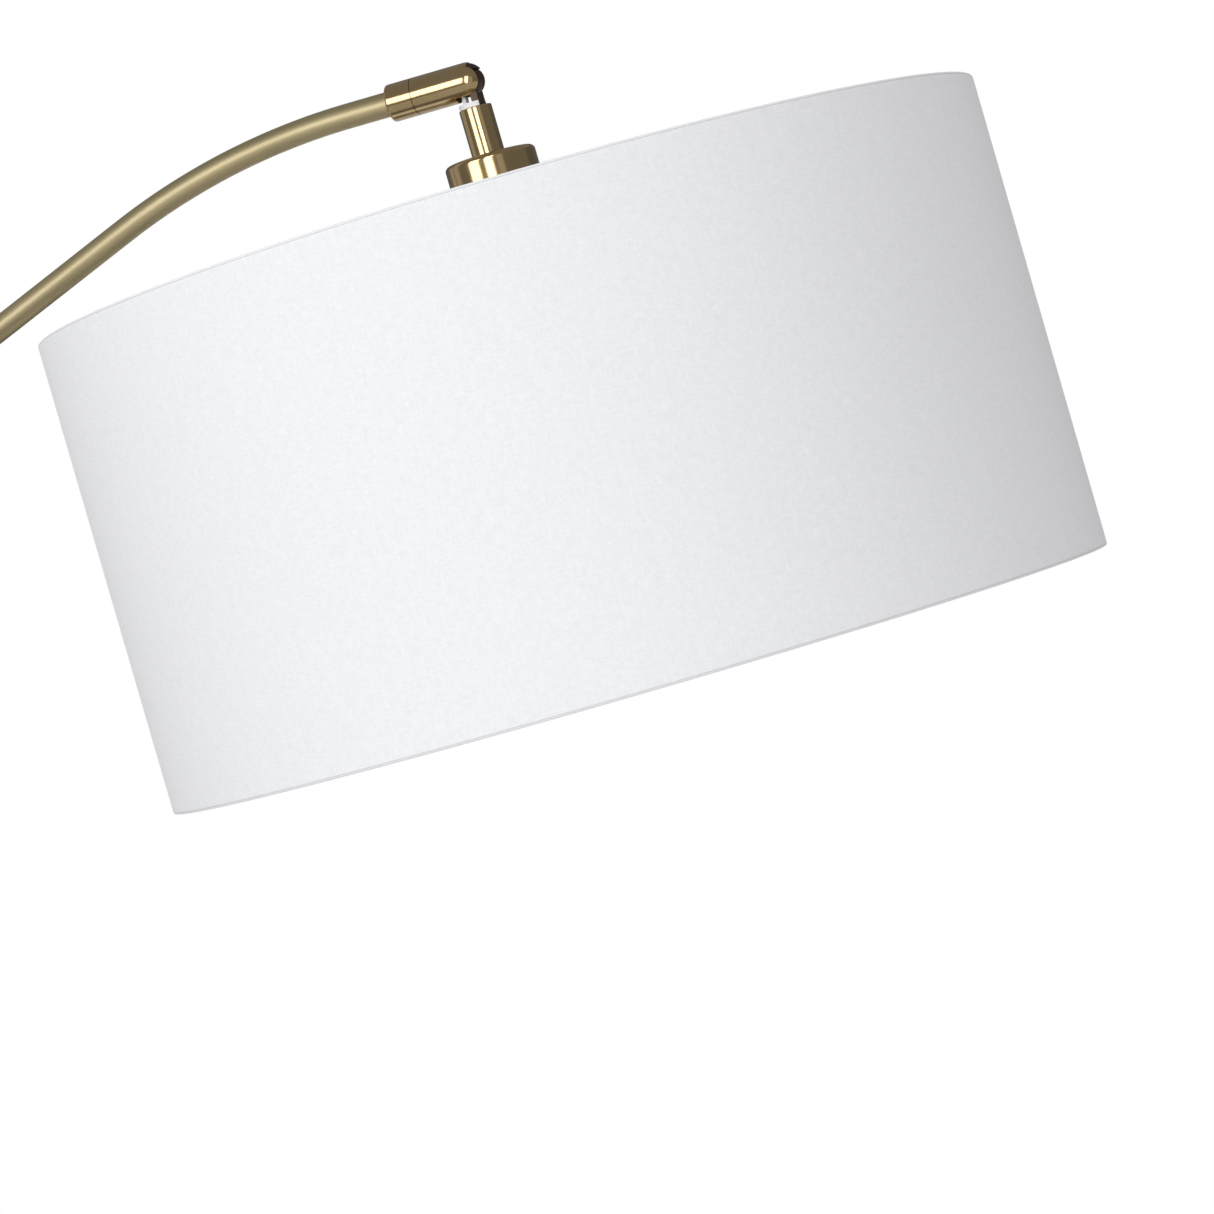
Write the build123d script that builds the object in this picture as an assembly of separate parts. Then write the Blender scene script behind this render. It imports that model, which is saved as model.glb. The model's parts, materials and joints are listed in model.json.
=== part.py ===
from build123d import *
from math import cos, radians, sin
import os

# Arc floor lamp. Origin on the floor under the pole, +Z up, the arm reaches towards +X.
# All sizes are millimetres and degrees.

# Fits
screw_clearance = 0.05
slip_clearance = 0.1
running_clearance = 0.06
face_clearance = 0.03

# Base
base_radius = 140.0
cover_wall = 1.2
cover_edge_round = 3.0
skirt_gap = 0.5
weight_thickness = 25.0
weight_side_gap = 0.3
web_thickness = 5.0
pocket_radius = 24.0
pad_inset = 4.5
pad_thickness = 2.0
inlet_height = 8.5
channel_side_gap = 0.5
bush_radius = 4.5
bush_bore_radius = 3.1
bush_flange_radius = 5.8
bush_flange_thickness = 1.6
bush_length = 9.0

# Threaded hollow rod, nuts and washers
nipple_radius = 5.0
nipple_bore_radius = 3.5
nipple_rise_in_pole = 10.0
nut_width = 17.0
nut_height = 4.0
nut_overhang = 1.0
washer_radius = 13.0
washer_thickness = 1.5

# Pole
collar_foot_radius = 15.0
collar_foot_height = 16.0
collar_foot_floor = 4.0
collar_foot_edge = 1.2
pole_radius = 8.0
pole_wall = 1.2
lower_pole_length = 468.0
upper_pole_length = 452.0
joiner_grip = 26.0
joiner_band = 3.0
joiner_bore_radius = 4.0
ferrule_radius = 9.5
ferrule_height = 26.0
ferrule_floor = 3.0
ferrule_edge = 1.2
set_screw_radius = 2.0
set_screw_height = 15.0
set_screw_recess = 0.4
hex_key_width = 2.0
hex_key_depth = 1.5

# Arm
tube_radius = 6.0
tube_wall = 1.1
arm_rise = 46.0
lower_bend_radius = 450.0
boom_angle = 36.1
boom_length = 520.0
upper_bend_radius = 350.0
tip_angle = 15.1
tip_straight = 22.0
rest_tilt = 1.7

# Knuckle, measured along the barrel from the tilt pivot
barrel_radius = 9.0
pivot_to_seam = 26.4
seam_gap = 0.3
barrel_end_wall = 3.0
bolt_head_clearance = 0.6
collar_length = 13.0
collar_wall = 4.5
collar_edge_round = 1.2
bolt_radius = 4.0
bolt_bore_radius = 2.6
bolt_head_radius = 5.6
bolt_head_height = 2.5
spring_washer_thickness = 0.8
fork_gap = 11.6
fork_floor_gap = 0.3
fork_web = 1.7
mouth_gap = 0.4
mouth_relief_start = 2.6
mouth_relief_depth = 0.3
slot_back = 6.2
wire_passage_radius = 4.2
tilt_washer_radius = 5.2
tilt_washer_thickness = 0.5
pivot_screw_radius = 2.5
pivot_thread_depth = 2.2
pivot_head_radius = 3.2
pivot_head_height = 1.4
pivot_head_floor = 1.1
driver_slot_width = 1.0
driver_slot_depth = 0.7

# Stem, measured down from the tilt pivot
eye_inset = 1.2
neck_back = 0.8
neck_thickness = 3.4
wire_groove_width = 5.2
wire_groove_core = 4.2
wire_groove_top = 4.0
stem_radius = 7.9
stem_shoulder = 12.8
stem_edge = 0.6
cup_top = 36.6
wire_hole_offset = 3.6
wire_hole_radius = 3.3
wire_hole_depth = 12.0
stem_bore_radius = 3.0
stem_bore_top = 4.0
spigot_length = 10.5
wire_bush_wall = 0.7
wire_bush_flange_height = 2.4
wire_bush_depth = 5.0

# Cup and lamp socket
cup_radius = 22.0
cup_height = 36.0
cup_wall = 1.2
cup_edge_round = 2.5
cup_nut_width = 14.0
cup_nut_height = 4.0
socket_radius = 19.0
socket_wall = 2.0
socket_cap_height = 18.0
socket_cap_roof = 4.0
socket_cap_gap = 0.5
socket_cap_edge = 2.0
socket_cap_lap = 1.0
socket_cap_web = 2.0
socket_cap_grip = 6.0
socket_cap_grip_wall = 1.8
sleeve_length = 68.0
core_drop = 24.0
core_height = 16.0
core_wire_hole_radius = 1.8
core_wire_hole_offset = 9.0
terminal_radius = 3.0
terminal_height = 2.2
terminal_offset = 10.0
screw_shell_radius = 14.0
screw_shell_wall = 0.5
screw_shell_length = 26.0
contact_radius = 4.0
contact_height = 2.0

# Rotary switch in the socket
switch_drop = 8.0
switch_shaft_radius = 2.5
switch_shaft_reach = 8.0
switch_hole_gap = 0.7
knob_radius = 7.0
knob_length = 12.0
knob_gap = 2.0
knob_edge = 0.8
knob_hole_depth = 6.0

# Bulb
bulb_thread_gap = 0.3
bulb_cap_wall = 0.6
bulb_cap_edge = 0.6
bulb_cap_length = 25.0
bulb_radius = 30.0
bulb_length = 106.0
bulb_glass = 0.8
bulb_tip_contact_radius = 4.5
bulb_tip_contact_height = 1.5

# Shade
shade_radius = 228.6
shade_height = 228.0
shade_drop = 65.4
fabric_thickness = 1.0
hem_reach = 5.0
liner_thickness = 0.6
wire_radius = 2.0
fitter_thickness = 2.0
fitter_radius = 30.0
spider_weld = 1.0
spider_arms = 3
spider_first_angle = 30.0
shade_ring_radius = 28.0
shade_ring_height = 8.0

# Leads
lead_radius = 2.1
lead_bend_radius = 10.0
lead_start_gap = 4.0
barrel_lead_stop = 1.2
core_start_gap = 0.15
core_radius = 1.15
core_spread = 1.3
core_bend_radius = 7.0
core_easing = 6.0
core_join_depth = 2.2


# Plain solids

def post(radius, low, high):
    """Upright round bar from z = low to z = high."""
    return Pos(0, 0, (low + high) / 2) * Cylinder(radius, high - low)


def ring(outer, inner, low, high):
    """Upright round tube."""
    return post(outer, low, high) - post(inner, low, high)


def bar_x(radius, start, end):
    """Round bar along X."""
    return Pos((start + end) / 2, 0, 0) * Rot(0, 90, 0) * Cylinder(radius, end - start)


def bar_y(radius, start, end):
    """Round bar along Y."""
    return Pos(0, (start + end) / 2, 0) * Rot(90, 0, 0) * Cylinder(radius, end - start)


def block(x_range, y_range, z_range):
    """Box between given limits."""
    sizes = [high - low for low, high in (x_range, y_range, z_range)]
    middle = [(low + high) / 2 for low, high in (x_range, y_range, z_range)]
    return Pos(*middle) * Box(*sizes)


def hex_bar(width, low, high):
    """Upright six-sided bar, measured across its flats."""
    corner_radius = width / 2 / cos(radians(30))
    return Pos(0, 0, low) * extrude(RegularPolygon(corner_radius, 6), high - low)


def ease_ends(shape, size, ends, axis=Axis.Z):
    """Rounds the edges at the chosen end faces."""
    faces = shape.faces().filter_by(axis).sort_by(axis)
    edges = ShapeList()
    for end in ends:
        edges += faces[end].edges()
    return fillet(edges, size)


def sweep_round(path, radius):
    """Round bar along a path of lines and tangent arcs."""
    start = Plane(origin=path @ 0, z_dir=path % 0)
    return sweep(start * Circle(radius), path=path)


# Heights of the base and the pole

weight_top = pad_thickness + weight_thickness
cover_top = weight_top + cover_wall
web_low = weight_top - web_thickness
washer_low = web_low - washer_thickness
base_nut_low = washer_low - nut_height
nipple_low = base_nut_low - nut_overhang
collar_foot_seat = cover_top + collar_foot_floor
pole_bore_radius = pole_radius - pole_wall
lower_pole_top = collar_foot_seat + lower_pole_length
upper_pole_low = lower_pole_top + joiner_band
upper_pole_top = upper_pole_low + upper_pole_length
tube_low = upper_pole_top + ferrule_floor
tube_bore_radius = tube_radius - tube_wall
weight_radius = base_radius - cover_wall - weight_side_gap
pad_radius = weight_radius - pad_inset
skirt_lift = pad_thickness + skirt_gap
half_channel = bush_radius + channel_side_gap
channel_roof = inlet_height + half_channel


# Centreline of the arm in the XZ plane

def step(point, heading, length):
    """Point reached by going straight on."""
    return (point[0] + length * cos(radians(heading)), point[1] + length * sin(radians(heading)))


def swing(point, heading, turn, radius):
    """Point reached on a right-hand arc that turns the heading down by the given angle."""
    centre = step(point, heading - 90, radius)
    return step(centre, heading - turn + 90, radius)


def in_arm_plane(point):
    """Arm plane point as a space point."""
    return (point[0], 0, point[1])


def bend(point, heading, turn, radius):
    """Arc of the arm's centreline."""
    middle = swing(point, heading, turn / 2, radius)
    end = swing(point, heading, turn, radius)
    return ThreePointArc(*[in_arm_plane(p) for p in (point, middle, end)])


def straight(start, end):
    """Straight run of the arm's centreline."""
    return Line(in_arm_plane(start), in_arm_plane(end))


lower_turn = 90 - boom_angle
upper_turn = boom_angle - tip_angle
collar_front = pivot_to_seam + seam_gap
collar_back = collar_front + collar_length
tube_end = collar_front + collar_wall
arm_low = (0, tube_low)
arm_bend_low = (0, upper_pole_top + ferrule_height + arm_rise)
arm_boom_low = swing(arm_bend_low, 90, lower_turn, lower_bend_radius)
arm_boom_top = step(arm_boom_low, boom_angle, boom_length)
arm_tip_low = swing(arm_boom_top, boom_angle, upper_turn, upper_bend_radius)
arm_tip = step(arm_tip_low, tip_angle, tip_straight + collar_back - tube_end)
pivot = step(arm_tip, tip_angle, tube_end)
barrel_frame = Location(in_arm_plane(pivot), (0, -tip_angle, 0))
head_frame = Location(in_arm_plane(pivot), (0, -tip_angle - rest_tilt, 0))


def arm_runs(low, tip):
    """Runs and bends from a point on the pole's axis to a point on the arm's tip."""
    return [
        straight(low, arm_bend_low),
        bend(arm_bend_low, 90, lower_turn, lower_bend_radius),
        straight(arm_boom_low, arm_boom_top),
        bend(arm_boom_top, boom_angle, upper_turn, upper_bend_radius),
        straight(arm_tip_low, tip),
    ]


def joined(runs):
    """One path from runs that follow on."""
    return Wire([run.edge() for run in runs])


# Base

def make_base_pad():
    return post(pad_radius, 0, pad_thickness)


def make_base_weight():
    weight = post(weight_radius, pad_thickness, weight_top)
    weight -= post(pocket_radius, pad_thickness, web_low)
    weight -= post(nipple_radius + slip_clearance, web_low, weight_top)
    channel = block(
        (-base_radius, 0), (-half_channel, half_channel), (pad_thickness, channel_roof)
    )
    return weight - channel


def make_base_cover():
    cover = post(base_radius, skirt_lift, cover_top)
    cover = ease_ends(cover, cover_edge_round, [-1])
    cover -= post(base_radius - cover_wall, skirt_lift, weight_top)
    cover -= post(nipple_radius + slip_clearance, weight_top, cover_top)
    inlet = bar_x(bush_radius + slip_clearance, -base_radius, -weight_radius)
    return cover - Pos(0, 0, inlet_height) * inlet


def make_cord_bush():
    skirt_back = -base_radius
    bush = bar_x(bush_radius, skirt_back, skirt_back + bush_length)
    bush += bar_x(bush_flange_radius, skirt_back - bush_flange_thickness, skirt_back)
    bush -= bar_x(bush_bore_radius, skirt_back - bush_flange_thickness, skirt_back + bush_length)
    return Pos(0, 0, inlet_height) * bush


def make_base_washer():
    return ring(washer_radius, nipple_radius + slip_clearance, washer_low, web_low)


def make_base_nut():
    nut = hex_bar(nut_width, base_nut_low, washer_low)
    return nut - post(nipple_radius + screw_clearance, base_nut_low, washer_low)


def make_base_nipple():
    return ring(nipple_radius, nipple_bore_radius, nipple_low, collar_foot_seat + nipple_rise_in_pole)


# Pole

def make_foot_collar():
    collar_top = cover_top + collar_foot_height
    collar = ease_ends(post(collar_foot_radius, cover_top, collar_top), collar_foot_edge, [-1])
    collar -= post(nipple_radius + screw_clearance, cover_top, collar_foot_seat)
    return collar - post(pole_radius + screw_clearance, collar_foot_seat, collar_top)


def make_lower_pole():
    return ring(pole_radius, pole_bore_radius, collar_foot_seat, lower_pole_top)


def make_pole_joiner():
    spigot_radius = pole_bore_radius - screw_clearance
    joiner = post(spigot_radius, lower_pole_top - joiner_grip, upper_pole_low + joiner_grip)
    joiner += post(pole_radius, lower_pole_top, upper_pole_low)
    return joiner - post(joiner_bore_radius, lower_pole_top - joiner_grip, upper_pole_low + joiner_grip)


def make_upper_pole():
    return ring(pole_radius, pole_bore_radius, upper_pole_low, upper_pole_top)


def make_arm_ferrule():
    top = upper_pole_top + ferrule_height
    ferrule = ease_ends(post(ferrule_radius, upper_pole_top, top), ferrule_edge, [-1])
    ferrule += post(pole_bore_radius - screw_clearance, upper_pole_top - joiner_grip, upper_pole_top)
    ferrule -= post(joiner_bore_radius, upper_pole_top - joiner_grip, tube_low)
    ferrule -= post(tube_radius + screw_clearance, tube_low, top)
    screw_hole = bar_x(set_screw_radius + screw_clearance, -ferrule_radius, -tube_radius)
    return ferrule - Pos(0, 0, upper_pole_top + set_screw_height) * screw_hole


def make_arm_set_screw():
    outer_end = -ferrule_radius + set_screw_recess
    screw = bar_x(set_screw_radius, outer_end, -tube_radius - face_clearance)
    key = Pos(outer_end, 0, 0) * Rot(0, 90, 0) * hex_bar(hex_key_width, 0, hex_key_depth)
    return Pos(0, 0, upper_pole_top + set_screw_height) * (screw - key)


def make_arc_tube():
    path = joined(arm_runs(arm_low, arm_tip))
    return sweep_round(path, tube_radius) - sweep_round(path, tube_bore_radius)


# Knuckle, in the barrel's frame: origin on the pivot, +X along the barrel, +Z square to it

barrel_bore_radius = bolt_head_radius + bolt_head_clearance
eye_radius = barrel_radius - eye_inset
fork_radius = eye_radius + fork_floor_gap
bore_end = -fork_radius - fork_web
wall_front = -pivot_to_seam + barrel_end_wall
spring_washer_low = wall_front + face_clearance
bolt_head_low = spring_washer_low + spring_washer_thickness + face_clearance
bolt_head_top = bolt_head_low + bolt_head_height
half_fork = fork_gap / 2
half_tongue = half_fork - tilt_washer_thickness - 2 * face_clearance
pivot_screw_end = half_fork + pivot_thread_depth
pivot_head_seat = half_fork + pivot_head_floor
neck_front = neck_back + neck_thickness


def make_arm_collar():
    collar = bar_x(barrel_radius, -collar_back, -collar_front)
    collar = ease_ends(collar, collar_edge_round, [0], Axis.X)
    collar -= bar_x(tube_radius + screw_clearance, -collar_back, -tube_end)
    return collar - bar_x(bolt_radius + screw_clearance, -tube_end, -collar_front)


def make_swivel_bolt():
    bolt = bar_x(bolt_radius, -tube_end, bolt_head_low)
    bolt += bar_x(bolt_head_radius, bolt_head_low, bolt_head_top)
    return bolt - bar_x(bolt_bore_radius, -tube_end, bolt_head_top)


def make_swivel_washer():
    washer = bar_x(bolt_head_radius, spring_washer_low, spring_washer_low + spring_washer_thickness)
    return washer - bar_x(bolt_radius + slip_clearance, spring_washer_low, bolt_head_low)


def make_knuckle_barrel():
    reach = 2 * barrel_radius
    barrel = bar_x(barrel_radius, -pivot_to_seam, 0) + Sphere(barrel_radius)
    barrel -= bar_x(bolt_radius + running_clearance, -pivot_to_seam, wall_front)
    barrel -= bar_x(barrel_bore_radius, wall_front, bore_end)
    barrel -= bar_x(wire_passage_radius, bore_end, -wire_hole_offset)
    barrel -= Sphere(fork_radius) & block((-reach, reach), (-half_fork, half_fork), (-reach, reach))
    barrel -= block((-slot_back, reach), (-half_fork, half_fork), (-reach, 0))
    barrel -= block((0, reach), (-half_fork, half_fork), (-reach, neck_front + mouth_gap))
    relief = block((mouth_relief_start, reach), (-half_fork, half_fork), (0, reach))
    barrel -= relief - Sphere(barrel_radius - mouth_relief_depth)
    barrel -= bar_y(pivot_screw_radius + screw_clearance, -pivot_screw_end, reach)
    return barrel - bar_y(pivot_head_radius + slip_clearance, pivot_head_seat, reach)


def make_tilt_washers():
    inner = half_tongue + face_clearance
    washer = bar_y(tilt_washer_radius, inner, inner + tilt_washer_thickness)
    washer -= bar_y(pivot_screw_radius + slip_clearance, inner, half_fork)
    return [washer, mirror(washer, about=Plane.XZ)]


def make_pivot_screw():
    head_top = pivot_head_seat + pivot_head_height
    screw = bar_y(pivot_screw_radius, -pivot_screw_end, pivot_head_seat)
    screw += bar_y(pivot_head_radius, pivot_head_seat, head_top)
    half_slot = driver_slot_width / 2
    driver_slot = block(
        (-pivot_head_radius, pivot_head_radius),
        (head_top - driver_slot_depth, head_top),
        (-half_slot, half_slot),
    )
    return screw - driver_slot


# Stem, cup and socket, in the head's frame: origin on the pivot, +Z up the stem

cup_low = -cup_top - cup_height
cup_nut_top = -cup_top - cup_wall
cup_nut_low = cup_nut_top - cup_nut_height
socket_cap_top = cup_nut_low - socket_cap_gap
socket_cap_low = socket_cap_top - socket_cap_height
sleeve_low = socket_cap_low - sleeve_length
core_top = socket_cap_low - core_drop
core_low = core_top - core_height
socket_bore_radius = socket_radius - socket_wall
contact_low = core_low - contact_height
switch_height = core_top - switch_drop
switch_blind_end = socket_bore_radius - switch_shaft_reach
spigot_low = -cup_top - spigot_length


def make_head_stem():
    eye = Sphere(eye_radius) & bar_y(eye_radius, -half_tongue, half_tongue)
    neck = block((neck_back, neck_front), (-half_tongue, half_tongue), (-stem_shoulder, 0))
    tongue = eye + neck - bar_y(pivot_screw_radius + running_clearance, -half_tongue, half_tongue)
    half_groove = wire_groove_width / 2
    groove = block((-eye_radius, neck_back), (-half_groove, half_groove), (-stem_shoulder, wire_groove_top))
    tongue -= groove - bar_y(wire_groove_core, -half_groove, half_groove)
    barrel_part = ease_ends(post(stem_radius, -cup_top, -stem_shoulder), stem_edge, [-1])
    stem = tongue + barrel_part + post(nipple_radius, spigot_low, -cup_top)
    bore_top = -stem_shoulder - stem_bore_top
    hole_low = -stem_shoulder - wire_hole_depth
    stem -= post(stem_bore_radius, spigot_low, bore_top)
    return stem - Pos(-wire_hole_offset, 0, 0) * post(wire_hole_radius, hole_low, -stem_shoulder)


def make_wire_bush():
    flange_top = -stem_shoulder + wire_bush_flange_height
    bush_low = -stem_shoulder - wire_bush_depth
    reach = 2 * stem_radius
    neck_side = half_tongue + slip_clearance
    flange = post(stem_radius - stem_edge, -stem_shoulder, flange_top)
    flange -= block((neck_front, reach), (-reach, reach), (-stem_shoulder, flange_top))
    flange -= block((neck_back - slip_clearance, reach), (-neck_side, neck_side), (-stem_shoulder, flange_top))
    hole = Pos(-wire_hole_offset, 0, 0)
    bush = flange + hole * post(wire_hole_radius - screw_clearance, bush_low, -stem_shoulder)
    return bush - hole * post(wire_hole_radius - wire_bush_wall, bush_low, flange_top)


def make_socket_cup():
    cup = ease_ends(post(cup_radius, cup_low, -cup_top), cup_edge_round, [-1])
    cup -= post(cup_radius - cup_wall, cup_low, cup_nut_top)
    return cup - post(nipple_radius + slip_clearance, cup_nut_top, -cup_top)


def make_cup_nut():
    nut = hex_bar(cup_nut_width, cup_nut_low, cup_nut_top)
    return nut - post(nipple_radius + screw_clearance, cup_nut_low, cup_nut_top)


def make_socket_cap():
    cap = post(socket_radius, socket_cap_low, socket_cap_top)
    cap = ease_ends(cap, socket_cap_edge, [-1])
    cap -= post(socket_bore_radius, socket_cap_low, socket_cap_top - socket_cap_roof)
    cap -= post(nipple_radius + screw_clearance, socket_cap_top - socket_cap_roof, socket_cap_top)
    grip_radius = socket_bore_radius - screw_clearance
    grip_bore = grip_radius - socket_cap_grip_wall
    web_radius = socket_bore_radius + socket_cap_lap
    web = ring(web_radius, grip_bore, socket_cap_low, socket_cap_low + socket_cap_web)
    return cap + web + ring(grip_radius, grip_bore, socket_cap_low - socket_cap_grip, socket_cap_low)


def make_socket_sleeve():
    sleeve = ring(socket_radius, socket_bore_radius, sleeve_low, socket_cap_low)
    opening = bar_y(switch_shaft_radius + switch_hole_gap, -socket_radius, 0)
    return sleeve - Pos(0, 0, switch_height) * opening


def make_socket_core():
    core = post(socket_bore_radius - screw_clearance, core_low, core_top)
    for side in (-1, 1):
        core -= Pos(side * core_wire_hole_offset, 0, 0) * post(core_wire_hole_radius, core_low, core_top)
    hole = bar_y(switch_shaft_radius + running_clearance, -socket_radius, -switch_blind_end)
    return core - Pos(0, 0, switch_height) * hole


def make_terminal_screws():
    screws = []
    for side in (-1, 1):
        head = post(terminal_radius, core_top, core_top + terminal_height)
        half_slot = driver_slot_width / 2
        slot = block(
            (-terminal_radius, terminal_radius),
            (-half_slot, half_slot),
            (core_top + terminal_height - driver_slot_depth, core_top + terminal_height),
        )
        screws.append(Pos(0, side * terminal_offset, 0) * (head - slot))
    return screws


def make_screw_shell():
    bore = screw_shell_radius - screw_shell_wall
    return ring(screw_shell_radius, bore, core_low - screw_shell_length, core_low)


def make_centre_contact():
    return post(contact_radius, contact_low, core_low)


# Rotary switch

knob_inner_end = socket_radius + knob_gap
knob_outer_end = knob_inner_end + knob_length
knob_hole_end = knob_inner_end + knob_hole_depth


def make_switch_shaft():
    shaft = bar_y(switch_shaft_radius, -knob_hole_end, -switch_blind_end - face_clearance)
    return Pos(0, 0, switch_height) * shaft


def make_switch_knob():
    knob = bar_y(knob_radius, -knob_outer_end, -knob_inner_end)
    knob = ease_ends(knob, knob_edge, [0, -1], Axis.Y)
    hole = bar_y(switch_shaft_radius + screw_clearance, -knob_hole_end, -knob_inner_end)
    return Pos(0, 0, switch_height) * (knob - hole)


# Bulb

bulb_cap_radius = screw_shell_radius - screw_shell_wall - bulb_thread_gap
bulb_top = contact_low - bulb_tip_contact_height
bulb_cap_low = bulb_top - bulb_cap_length


def make_bulb_cap():
    cap = post(bulb_cap_radius, bulb_cap_low, bulb_top)
    cap = ease_ends(cap, bulb_cap_edge, [-1])
    cap -= post(bulb_cap_radius - bulb_cap_wall, bulb_cap_low, bulb_top - bulb_cap_wall)
    return cap + post(bulb_tip_contact_radius, bulb_top, contact_low)


def bulb_form(inset):
    """Pear shape of the bulb, drawn in by the given amount."""
    middle = contact_low - bulb_length + bulb_radius
    radius = bulb_radius - inset
    neck_radius = bulb_cap_radius - bulb_cap_wall - screw_clearance - inset
    neck_low = bulb_cap_low - neck_radius / 2
    neck_top = bulb_cap_low + bulb_cap_length / 2
    crown = radius * sin(radians(45))
    outline = ThreePointArc((0, middle - radius), (crown, middle - crown), (radius, middle))
    outline += Spline((radius, middle), (neck_radius, neck_low), tangents=[(0, 1), (0, 1)])
    outline += Polyline((neck_radius, neck_low), (neck_radius, neck_top), (0, neck_top), (0, middle - radius))
    return revolve(Plane.XZ * make_face(outline), Axis.Z)


def make_bulb_globe():
    return bulb_form(0) - bulb_form(bulb_glass)


# Shade, in the same frame

shade_top = -shade_drop
shade_low = shade_top - shade_height
liner_outer = shade_radius - fabric_thickness
liner_inner = liner_outer - liner_thickness
wire_ring_radius = liner_inner - wire_radius - screw_clearance
top_wire_height = shade_top - fabric_thickness - wire_radius - face_clearance
low_wire_height = shade_low + fabric_thickness + wire_radius + face_clearance
fitter_low = cup_low - fitter_thickness


def make_shade_fabric():
    tube = ring(shade_radius, liner_outer, shade_low, shade_top)
    hem_inner = liner_inner - hem_reach
    top_hem = ring(liner_outer, hem_inner, shade_top - fabric_thickness, shade_top)
    low_hem = ring(liner_outer, hem_inner, shade_low, shade_low + fabric_thickness)
    return tube + top_hem + low_hem


def make_shade_liner():
    return ring(
        liner_outer - face_clearance,
        liner_inner,
        shade_low + fabric_thickness + face_clearance,
        shade_top - fabric_thickness - face_clearance,
    )


def make_shade_spider():
    middle = cup_low - fitter_thickness / 2
    hub_bore = socket_radius + slip_clearance
    frame = ring(fitter_radius, hub_bore, fitter_low, cup_low)
    frame += Pos(0, 0, top_wire_height) * Torus(wire_ring_radius, wire_radius)
    for index in range(spider_arms):
        start = (fitter_radius - spider_weld, 0, middle)
        end = (wire_ring_radius, 0, top_wire_height)
        arm = sweep_round(Line(start, end), wire_radius)
        frame += Rot(0, 0, spider_first_angle + index * 360 / spider_arms) * arm
    return frame


def make_shade_low_ring():
    return Pos(0, 0, low_wire_height) * Torus(wire_ring_radius, wire_radius)


def make_shade_ring():
    low = fitter_low - shade_ring_height
    return ring(shade_ring_radius, socket_radius + screw_clearance, low, fitter_low)


# Leads: one in the stand, one in the barrel, then two bare cores to the socket

lead_join = bolt_head_top
barrel_lead_end = bore_end - barrel_lead_stop
core_join = -stem_shoulder - core_join_depth
terminal_top = core_top + terminal_height


def make_arm_lead():
    inlet = (-base_radius + bush_length + lead_start_gap, inlet_height)
    turn_start = (-lead_bend_radius, inlet_height)
    turn_end = (0, inlet_height + lead_bend_radius)
    centre = (-lead_bend_radius, inlet_height + lead_bend_radius)
    turn_middle = step(centre, -45, lead_bend_radius)
    corner = ThreePointArc(*[in_arm_plane(p) for p in (turn_start, turn_middle, turn_end)])
    tip = step(pivot, tip_angle, lead_join)
    runs = [straight(inlet, turn_start), corner] + arm_runs(turn_end, tip)
    return sweep_round(joined(runs), lead_radius)


def make_barrel_lead():
    return bar_x(lead_radius, lead_join + face_clearance, barrel_lead_end)


def make_knuckle_leads():
    cores = []
    bend_start = -wire_hole_offset - core_bend_radius
    middle = core_bend_radius * sin(radians(45))
    for side in (-1, 1):
        across = side * core_spread
        turn = ThreePointArc(
            (bend_start, across, 0),
            (bend_start + middle, across, middle - core_bend_radius),
            (-wire_hole_offset, across, -core_bend_radius),
        )
        runs = [
            Line((barrel_lead_end + core_start_gap, across, 0), (bend_start, across, 0)),
            turn,
            Line((-wire_hole_offset, across, -core_bend_radius), (-wire_hole_offset, across, core_join)),
        ]
        cores.append(sweep_round(joined(runs), core_radius))
    return cores


def make_socket_leads():
    cores = []
    hole_low = -stem_shoulder - wire_hole_depth
    bore_top = -stem_shoulder - stem_bore_top
    fan_top = spigot_low - core_easing
    fan_low = terminal_top + core_easing
    for side in (-1, 1):
        near = side * core_spread
        far = side * terminal_offset
        points = [
            (-wire_hole_offset, near, core_join - face_clearance),
            (-wire_hole_offset, near, bore_top - core_radius),
            (0, near, hole_low + core_radius),
            (0, near, fan_top),
            (0, far, fan_low),
            (0, far, terminal_top),
        ]
        path = FilletPolyline(*points, radius=core_easing / 2)
        cores.append(sweep_round(path, core_radius))
    return cores


parts = {
    "base_pad": make_base_pad(),
    "base_weight": make_base_weight(),
    "base_cover": make_base_cover(),
    "cord_bush": make_cord_bush(),
    "base_washer": make_base_washer(),
    "base_nut": make_base_nut(),
    "base_nipple": make_base_nipple(),
    "foot_collar": make_foot_collar(),
    "lower_pole": make_lower_pole(),
    "pole_joiner": make_pole_joiner(),
    "upper_pole": make_upper_pole(),
    "arm_ferrule": make_arm_ferrule(),
    "arm_set_screw": make_arm_set_screw(),
    "arc_tube": make_arc_tube(),
    "arm_lead": make_arm_lead(),
}

barrel_parts = {
    "arm_collar": make_arm_collar(),
    "swivel_bolt": make_swivel_bolt(),
    "swivel_washer": make_swivel_washer(),
    "knuckle_barrel": make_knuckle_barrel(),
    "tilt_washers": make_tilt_washers(),
    "pivot_screw": make_pivot_screw(),
    "barrel_lead": make_barrel_lead(),
}

head_parts = {
    "head_stem": make_head_stem(),
    "wire_bush": make_wire_bush(),
    "socket_cup": make_socket_cup(),
    "cup_nut": make_cup_nut(),
    "socket_cap": make_socket_cap(),
    "socket_sleeve": make_socket_sleeve(),
    "socket_core": make_socket_core(),
    "terminal_screws": make_terminal_screws(),
    "screw_shell": make_screw_shell(),
    "centre_contact": make_centre_contact(),
    "switch_shaft": make_switch_shaft(),
    "switch_knob": make_switch_knob(),
    "bulb_cap": make_bulb_cap(),
    "bulb_globe": make_bulb_globe(),
    "shade_fabric": make_shade_fabric(),
    "shade_liner": make_shade_liner(),
    "shade_spider": make_shade_spider(),
    "shade_low_ring": make_shade_low_ring(),
    "shade_ring": make_shade_ring(),
    "knuckle_leads": make_knuckle_leads(),
    "socket_leads": make_socket_leads(),
}

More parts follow.
